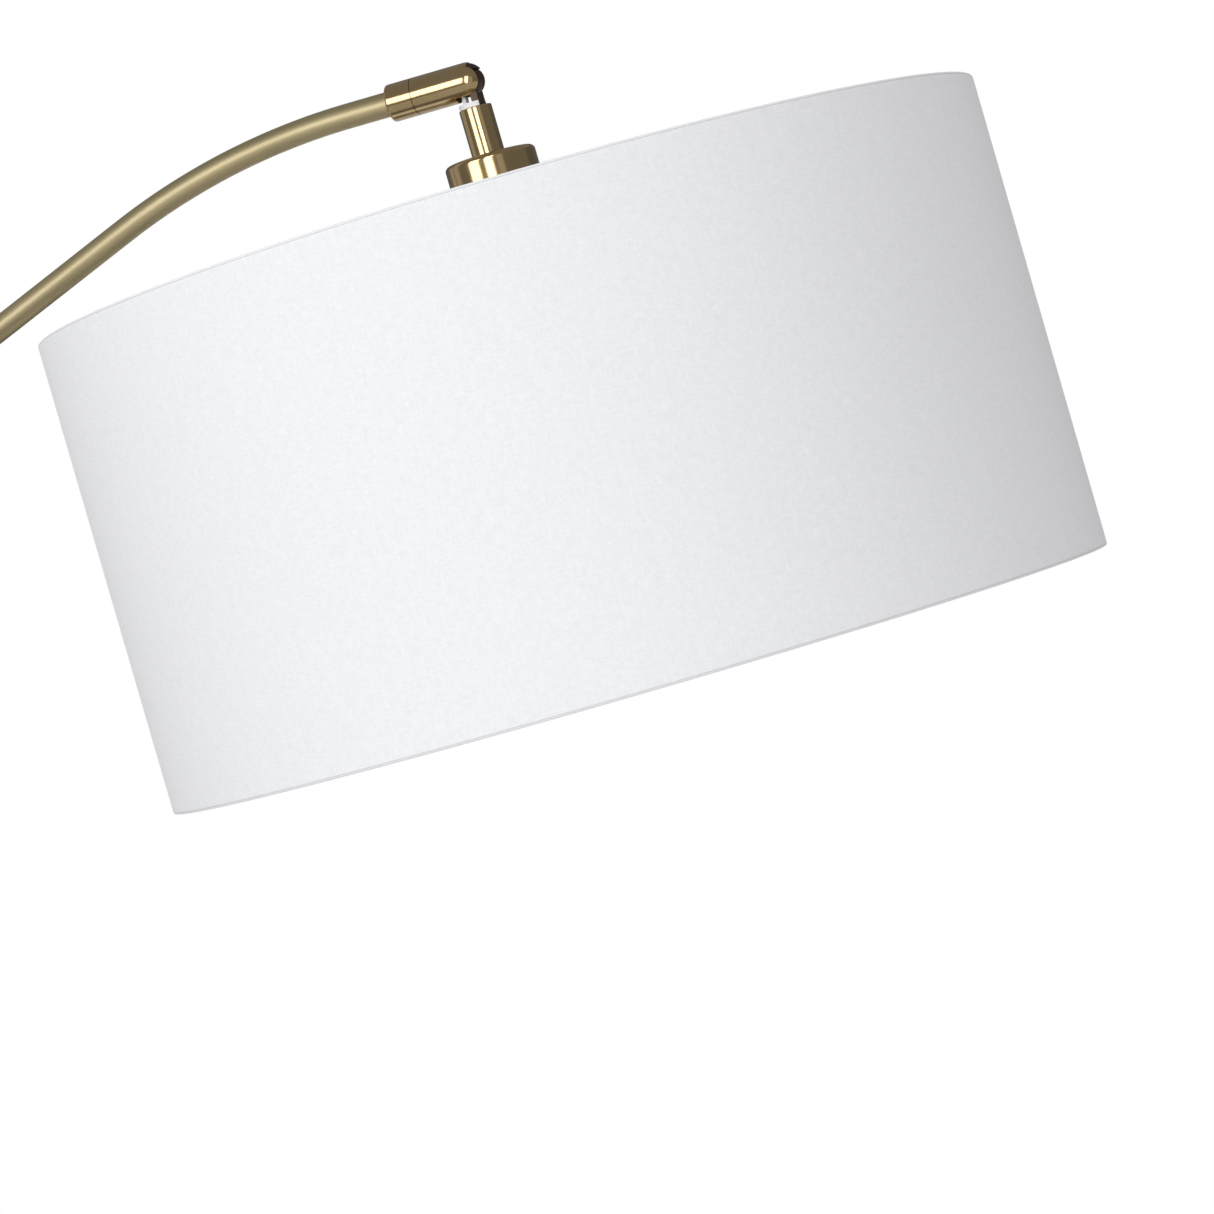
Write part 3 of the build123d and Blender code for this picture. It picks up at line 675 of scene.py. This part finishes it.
def lathe(name, outline, steps):
    """Closed outline of radius and height pairs turned round the Z axis."""
    count = len(outline)
    points = []
    faces = []
    for step_index in range(steps):
        angle = 2 * pi * step_index / steps
        points += [(radius * cos(angle), radius * sin(angle), height) for radius, height in outline]
        for index in range(count):
            follow = (index + 1) % count
            here = step_index * count
            there = (step_index + 1) % steps * count
            faces.append((here + index, there + index, there + follow, here + follow))
    shape = bmesh.new()
    corners = [shape.verts.new(point) for point in points]
    for face in faces:
        shape.faces.new([corners[index] for index in face])
    bmesh.ops.remove_doubles(shape, verts=shape.verts, dist=merge_distance)
    bmesh.ops.dissolve_degenerate(shape, edges=shape.edges, dist=degenerate_length)
    bmesh.ops.recalc_face_normals(shape, faces=shape.faces)
    mesh = bpy.data.meshes.new(name)
    shape.to_mesh(mesh)
    shape.free()
    return mesh


def arc_points(centre, radius, start, end, steps):
    """Points on a level arc, given by angles."""
    angles = [start + (end - start) * index / steps for index in range(steps + 1)]
    return [(centre[0] + radius * cos(angle), centre[1] + radius * sin(angle)) for angle in angles]


def evenly(start, end, spacing):
    """Points on a straight line, close enough for a spacing."""
    steps = max(1, round((Vector(end) - Vector(start)).length / spacing))
    return [tuple(Vector(start).lerp(Vector(end), index / steps)) for index in range(steps + 1)]


def grow(name, tree, base, **values):
    """Mesh that a tree makes from a base mesh."""
    seed = bpy.data.objects.new(name, base)
    scene.collection.objects.link(seed)
    maker = seed.modifiers.new("grow", "NODES")
    maker.node_group = tree
    for item in tree.interface.items_tree:
        label = item.name.lower().replace(" ", "_")
        if item.in_out == "INPUT" and label in values:
            maker[item.identifier] = values[label]
    mesh = bpy.data.meshes.new_from_object(seed.evaluated_get(bpy.context.evaluated_depsgraph_get()))
    bpy.data.objects.remove(seed)
    return mesh


def add_piece(name, mesh, stands_for, place=stand_frame, crease=sharp_angle):
    """Object of its own for a mesh, in its place; the node that it stands for is hidden."""
    mesh.transform(place)
    mesh.shade_smooth()
    mesh.set_sharp_from_angle(angle=crease)
    piece = bpy.data.objects.new(name, mesh)
    scene.collection.objects.link(piece)
    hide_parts(stands_for)
    return piece


# Shade cloth and its lining

def make_shade():
    """Cloth that is stretched over both wires, and the stiff lining behind it."""
    shade_low, shade_high = extent("shade_fabric", head_frame)
    wire_low, wire_high = extent("shade_low_ring", head_frame)
    low_wire = (wire_low.z + wire_high.z) / 2
    margin = low_wire - shade_low.z
    top_wire = shade_high.z - margin
    radius = shade_high.x - cloth_thickness / 2
    roll_depth = margin - cloth_thickness / 2
    quarter = []
    for step in range(roll_steps + 1):
        turn = pi / 2 * step / roll_steps
        across = cloth_roll_width * cos(turn) ** cloth_roll_squareness
        quarter.append(Vector((across, roll_depth * sin(turn) ** cloth_roll_squareness)))
    roll = 2 * sum((follow - here).length for here, follow in zip(quarter, quarter[1:]))
    wall = top_wire - low_wire
    width = 2 * pi * radius + cloth_lap
    liner_outer = extent("shade_liner", head_frame)[1].x
    glue_radius = liner_outer - liner_wall - liner_gap
    cloth = grow(
        "shade_cloth", drum_cloth, bpy.data.meshes.new("shade_strip"),
        width=width, lap=cloth_lap, lap_lift=cloth_lap_lift, radius=radius, turn_in=cloth_turn_in,
        roll=roll, roll_width=cloth_roll_width, roll_depth=roll_depth, squareness=cloth_roll_squareness,
        low_wire=low_wire, wall=wall, glue_step=glue_radius - (radius - 2 * cloth_roll_width),
        columns=cloth_columns, rows=cloth_rows, finish=finishes["shade_linen"],
    )
    piece = add_piece("shade_cloth", cloth, "shade_fabric", head_frame, cloth_sharp_angle)
    thickness = piece.modifiers.new("thickness", "SOLIDIFY")
    thickness.thickness = cloth_thickness
    thickness.offset = 0
    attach(piece, "head")
    outline = [
        (liner_outer - liner_wall, low_wire), (liner_outer, low_wire),
        (liner_outer, top_wire), (liner_outer - liner_wall, top_wire),
    ]
    liner = lathe("shade_lining", outline, lining_steps)
    liner.materials.append(finishes["shade_styrene"])
    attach(add_piece("shade_lining", liner, "shade_liner", head_frame), "head")


# Arm and the cores in the knuckle

def make_arm():
    """Tube from the ferrule up, round the lower bend, along the boom and round the upper bend."""
    def ahead(point, heading, length):
        """Point at a distance along a heading."""
        return (point[0] + length * cos(heading), point[1] + length * sin(heading))

    def bend(point, heading, to_heading, radius):
        """Points of a downward bend between two headings."""
        centre = ahead(point, heading - pi / 2, radius)
        return arc_points(centre, radius, heading + pi / 2, to_heading + pi / 2, bend_steps)

    tube_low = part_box("arc_tube")[0][2]
    bend_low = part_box("arm_ferrule")[1][2] + arm_rise
    bolt_back = extent("swivel_bolt", barrel_frame)[0].z
    lower_bend = bend((0, bend_low), pi / 2, boom_angle, lower_bend_radius)
    boom_end = ahead(lower_bend[-1], boom_angle, boom_length)
    upper_bend = bend(boom_end, boom_angle, tip_angle, upper_bend_radius)
    tip = pivot + barrel_direction * bolt_back
    profile = evenly((0, tube_low), (0, bend_low), tube_spacing)[:-1] + lower_bend[:-1]
    profile += evenly(lower_bend[-1], upper_bend[0], tube_spacing)[:-1] + upper_bend[:-1]
    profile += evenly(upper_bend[-1], (tip.x, tip.z), tube_spacing)
    path = path_mesh("arm_path", [(x, 0, z) for x, z in profile])
    tube = grow("arm_tube", bent_tube, path, radius=tube_radius, sides=tube_sides, finish=tube_brass)
    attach(add_piece("arm_tube", tube, "arc_tube"), "stand")


def make_cores():
    """Two insulated cores that leave the barrel's bore and turn down into the stem."""
    bend_start = wire_hole_offset - core_bend_radius
    turn = arc_points((bend_start, -core_bend_radius), core_bend_radius, pi / 2, 0, core_bend_steps)
    profile = [(core_start, 0)] + turn + evenly(turn[-1], (wire_hole_offset, core_end), core_spacing)[1:]
    runs = [[(x, side * core_spread, z) for x, z in profile] for side in (-1, 1)]
    cores = grow(
        "knuckle_cores", bent_tube, path_mesh("core_paths", *runs),
        radius=core_radius, sides=core_sides, finish=finishes["lead_jacket"],
    )
    piece = add_piece("knuckle_cores", cores, "knuckle_leads", head_frame)
    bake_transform(piece)


# Socket fittings

def rounded_side(radius, low, high, edge):
    """Outer side of a turned piece with rounded edges, from its low face to its high one."""
    side = arc_points((radius - edge, low + edge), edge, -pi / 2, 0, edge_steps)
    return side + arc_points((radius - edge, high - edge), edge, 0, pi / 2, edge_steps)


def wall_points(radius, low, high):
    """Points up a straight wall, close enough for a thread."""
    return evenly((radius, low), (radius, high), thread_row)


def make_knob():
    """Knob of the switch, fluted round its side and bored for the shaft."""
    low, high = extent("switch_knob", switch_frame)
    hole_radius = extent("switch_shaft", switch_frame)[1].x + knob_hole_gap
    hole_end = extent("switch_shaft", switch_frame)[1].z
    outline = rounded_side(high.x, low.z, high.z, knob_edge)
    outline += [(0, high.z), (0, hole_end), (hole_radius, hole_end), (hole_radius, low.z)]
    knob = grow(
        "fluted_knob", fluted, lathe("knob_blank", outline, knob_flutes * steps_per_knob_flute),
        count=knob_flutes, depth=knob_flute_depth,
        inside=high.x - 2 * knob_edge, outside=high.x - knob_edge, finish=finishes["socket_phenolic"],
    )
    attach(add_piece("fluted_knob", knob, "switch_knob", switch_frame), "switch")


def make_shade_ring():
    """Fluted ring that clamps the shade to the socket."""
    low, high = extent("shade_ring", head_frame)
    bore = extent("socket_sleeve", head_frame)[1].x + ring_bore_gap
    outline = rounded_side(high.x, low.z, high.z, ring_edge) + [(bore, high.z), (bore, low.z)]
    ring = grow(
        "fluted_ring", fluted, lathe("ring_blank", outline, ring_flutes * steps_per_ring_flute),
        count=ring_flutes, depth=ring_flute_depth,
        inside=high.x - 2 * ring_edge, outside=high.x - ring_edge, finish=finishes["socket_phenolic"],
    )
    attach(add_piece("fluted_ring", ring, "shade_ring", head_frame), "head")


def make_screw_shell():
    """Thin threaded shell of the socket."""
    low, high = extent("screw_shell", head_frame)
    outline = wall_points(high.x, low.z, high.z) + wall_points(high.x - shell_wall, high.z, low.z)
    shell = grow(
        "threaded_shell", threaded, lathe("shell_blank", outline, thread_steps),
        pitch=thread_pitch, depth=thread_depth, low=low.z, high=high.z, inside=0.0,
        finish=finishes["socket_brass"],
    )
    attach(add_piece("threaded_shell", shell, "screw_shell", head_frame), "head")


def make_bulb_cap():
    """Threaded cap of the bulb with its contact on top."""
    low, high = extent("bulb_cap", head_frame)
    shell_low, shell_high = extent("screw_shell", head_frame)
    tip = bulb_tip_radius
    shoulder = high.z - bulb_tip_height
    inside = high.x - bulb_cap_wall
    outline = wall_points(high.x, low.z, shoulder - bulb_cap_edge)
    edge_middle = (high.x - bulb_cap_edge, shoulder - bulb_cap_edge)
    outline += arc_points(edge_middle, bulb_cap_edge, 0, pi / 2, edge_steps)[1:]
    outline += [(tip, shoulder), (tip, high.z), (0, high.z), (0, shoulder - bulb_cap_wall)]
    outline += wall_points(inside, shoulder - bulb_cap_wall, low.z)
    cap = grow(
        "threaded_cap", threaded, lathe("cap_blank", outline, thread_steps),
        pitch=thread_pitch, depth=thread_depth, low=shell_low.z, high=shell_high.z,
        inside=inside - bulb_cap_wall, finish=finishes["bulb_aluminium"],
    )
    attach(add_piece("threaded_cap", cap, "bulb_cap", head_frame), "head")


make_shade()
make_arm()
make_cores()
make_knob()
make_shade_ring()
make_screw_shell()
make_bulb_cap()


# Studio

def area_light(name, place, target, size, power):
    """Soft box aimed at a point. It shows in reflections but not to the camera."""
    lamp = bpy.data.lights.new(name, "AREA")
    lamp.shape = "RECTANGLE"
    lamp.size, lamp.size_y = size
    lamp.energy = power
    lamp.color = soft_box_tone
    light = bpy.data.objects.new(name, lamp)
    light.location = place
    light.rotation_euler = (Vector(target) - Vector(place)).to_track_quat("-Z", "Y").to_euler()
    light.visible_camera = False
    scene.collection.objects.link(light)


def seen_directly(tree):
    """1 for rays from the camera and from mirrors and glass, 0 for light that falls on the object."""
    rays = put(tree, "ShaderNodeLightPath").outputs
    mirrored = calc(tree, "MAXIMUM", rays["Is Camera Ray"], rays["Is Glossy Ray"])
    return calc(tree, "MAXIMUM", mirrored, rays["Is Transmission Ray"])


fill_strength = 0.62
soft_box_tone = (0.97, 0.98, 1.0)
floor_size = 60.0
floor_tone = (0.8, 0.8, 0.8)
floor_white_from = 0.5
floor_white_to = 2.2
surround_radius = 3.4
surround_height = 3.6
wall_dim = 0.185
ceiling_dim = 0.22
floor_dim = 0.15
wall_cards = [
    (radians(-180), radians(-166), 0.42),
    (radians(160), radians(180), 0.42),
    (radians(-60), radians(-44), 0.45),
    (radians(32), radians(148), 0.12),
]
wall_step = 4
dim_floor_radius = 0.3
dim_floor_lift = 0.002
shade_middle_drop = 0.15
soft_box_distance = 2.6
soft_boxes = [
    ("soft_box_left", radians(-117), radians(4), (1.2, 1.3), 16),
    ("soft_box_front", radians(-80), radians(10), (0.85, 1.8), 18.5),
]

world = bpy.data.worlds.new("studio")
world.use_nodes = True
scene.world = world
sky = world.node_tree.nodes["Background"]
sky.inputs["Color"].default_value = (1, 1, 1, 1)
sky_strength = ramp(world.node_tree, seen_directly(world.node_tree), 0, 1, fill_strength, 1.0)
world.node_tree.links.new(sky_strength, sky.inputs["Strength"])

floor_mesh = bpy.data.meshes.new("floor")
half = floor_size / 2
floor_corners = [(-half, -half, 0), (half, -half, 0), (half, half, 0), (-half, half, 0)]
floor_mesh.from_pydata(floor_corners, [], [(0, 1, 2, 3)])
floor = bpy.data.objects.new("floor", floor_mesh)
scene.collection.objects.link(floor)
floor_finish, floor_tree, floor_shader = new_finish("floor")
feed(floor_tree, floor_shader, Base_Color=(*floor_tone, 1), Roughness=0.9)
floor_place = object_place(floor_tree)
reach = put(floor_tree, "ShaderNodeVectorMath", {0: floor_place}, operation="LENGTH").outputs["Value"]
faded = ramp(floor_tree, reach, floor_white_from, floor_white_to)
white = put(floor_tree, "ShaderNodeEmission")
whitened = calc(floor_tree, "MULTIPLY", faded, seen_directly(floor_tree))
floor_mix = put(floor_tree, "ShaderNodeMixShader", {
    0: whitened, 1: floor_shader.outputs[0], 2: white.outputs[0],
})
floor_tree.links.new(floor_mix.outputs[0], floor_tree.nodes["Material Output"].inputs["Surface"])
floor_mesh.materials.append(floor_finish)


# Dim walls, ceiling and floor of the studio, seen in the metal only

def wall_tone(azimuth):
    """Tone of the wall in a direction. Two pale cards and a dark one hang on it."""
    for card_from, card_to, tone in wall_cards:
        if card_from <= azimuth < card_to:
            return tone
    return wall_dim


def make_surround():
    """Round room of plain tones about the pivot."""
    angles = [radians(degree) for degree in range(-180, 180, wall_step)]
    count = len(angles)
    rings = [
        (dim_floor_radius, dim_floor_lift),
        (surround_radius, dim_floor_lift),
        (surround_radius, surround_height),
    ]
    points = []
    for radius, height in rings:
        points += [(pivot.x + radius * cos(angle), radius * sin(angle), height) for angle in angles]
    faces = []
    tones = []
    for index, angle in enumerate(angles):
        follow = (index + 1) % count
        faces.append((index, follow, count + follow, count + index))
        tones.append(floor_dim)
        faces.append((count + index, count + follow, 2 * count + follow, 2 * count + index))
        tones.append(wall_tone(angle))
    faces.append(tuple(range(2 * count, 3 * count)))
    tones.append(ceiling_dim)
    mesh = bpy.data.meshes.new("surround")
    mesh.from_pydata(points, [], faces)
    mesh.attributes.new("tone", "FLOAT", "FACE").data.foreach_set("value", tones)
    finish, tree, _ = new_finish("surround")
    tone = put(tree, "ShaderNodeAttribute", attribute_name="tone").outputs["Fac"]
    glow = put(tree, "ShaderNodeEmission", {"Strength": tone})
    tree.links.new(glow.outputs[0], tree.nodes["Material Output"].inputs["Surface"])
    mesh.materials.append(finish)
    surround = bpy.data.objects.new("surround", mesh)
    scene.collection.objects.link(surround)
    surround.visible_camera = False
    surround.visible_diffuse = False
    surround.visible_transmission = False
    surround.visible_shadow = False


make_surround()


def towards(azimuth, elevation, distance):
    """Point in a direction from the pivot."""
    level = distance * cos(elevation)
    return pivot + Vector((level * cos(azimuth), level * sin(azimuth), distance * sin(elevation)))


shade_middle = head_frame @ Vector((0, 0, -shade_middle_drop))
for box_name, azimuth, elevation, size, power in soft_boxes:
    area_light(box_name, towards(azimuth, elevation, soft_box_distance), shade_middle, size, power)

# Camera
photo_width = 1214
focal_pixels = 4593
film_width = 36
camera_from_pivot = Vector((0.6601, -2.0817, -0.0403))
camera_yaw = radians(-15.865)
camera_pitch = radians(-5.47)
camera_data = bpy.data.cameras.new("camera")
camera_data.sensor_width = film_width
camera_data.lens = film_width * focal_pixels / photo_width
camera = bpy.data.objects.new("camera", camera_data)
camera.location = pivot + camera_from_pivot
camera.rotation_euler = (pi / 2 + camera_pitch, 0, -camera_yaw)
scene.collection.objects.link(camera)
scene.camera = camera

scene.view_settings.view_transform = "Standard"
